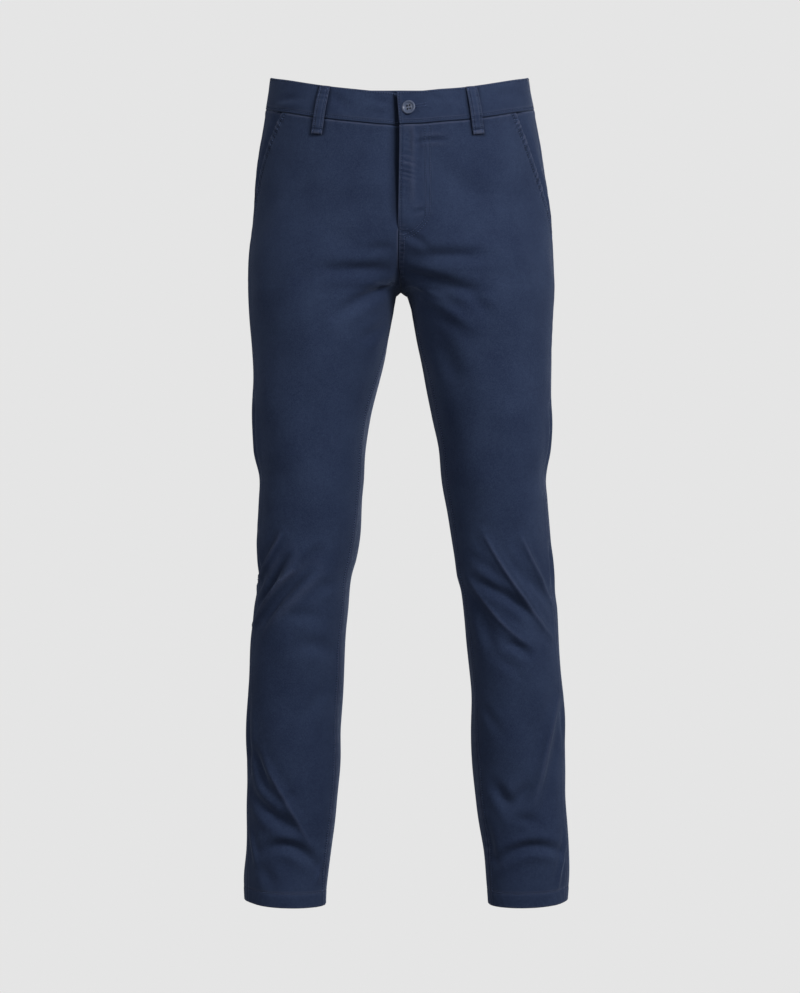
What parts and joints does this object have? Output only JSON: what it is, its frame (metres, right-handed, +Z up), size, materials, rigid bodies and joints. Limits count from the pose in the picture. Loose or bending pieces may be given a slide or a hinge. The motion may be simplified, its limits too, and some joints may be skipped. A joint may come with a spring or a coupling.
{
  "type": "chino trousers",
  "caption": "Slim chino trousers in navy cotton twill, filled out as if worn, with a buttoned waistband, belt loops, a fly, slant front pockets and straight hems.",
  "frame": {"origin": "middle of the waist, in the plane of the side waist seams' height, where a wearer holds them up", "axes": "+X to the wearer's left, -Y to the wearer's front, +Z up"},
  "size_m": [0.4112, 0.2561, 1.0493],
  "materials": {
    "twill": "matte cotton twill with a fine diagonal rib",
    "thread": "matte sewing thread, a little paler than the cloth",
    "button": "satin, dyed to the cloth"
  },
  "bodies": {
    "root": {"front_right": "twill", "front_left": "twill", "back_right": "twill", "back_left": "twill", "pocket_facing_right": "twill", "pocket_facing_left": "twill", "fly_shield": "twill", "waistband": "twill", "belt_loop_front_right": "twill", "belt_loop_front_left": "twill", "belt_loop_back_right": "twill", "belt_loop_back_left": "twill", "belt_loop_centre_back": "twill", "waist_button": "button"}
  },
  "joints": []
}
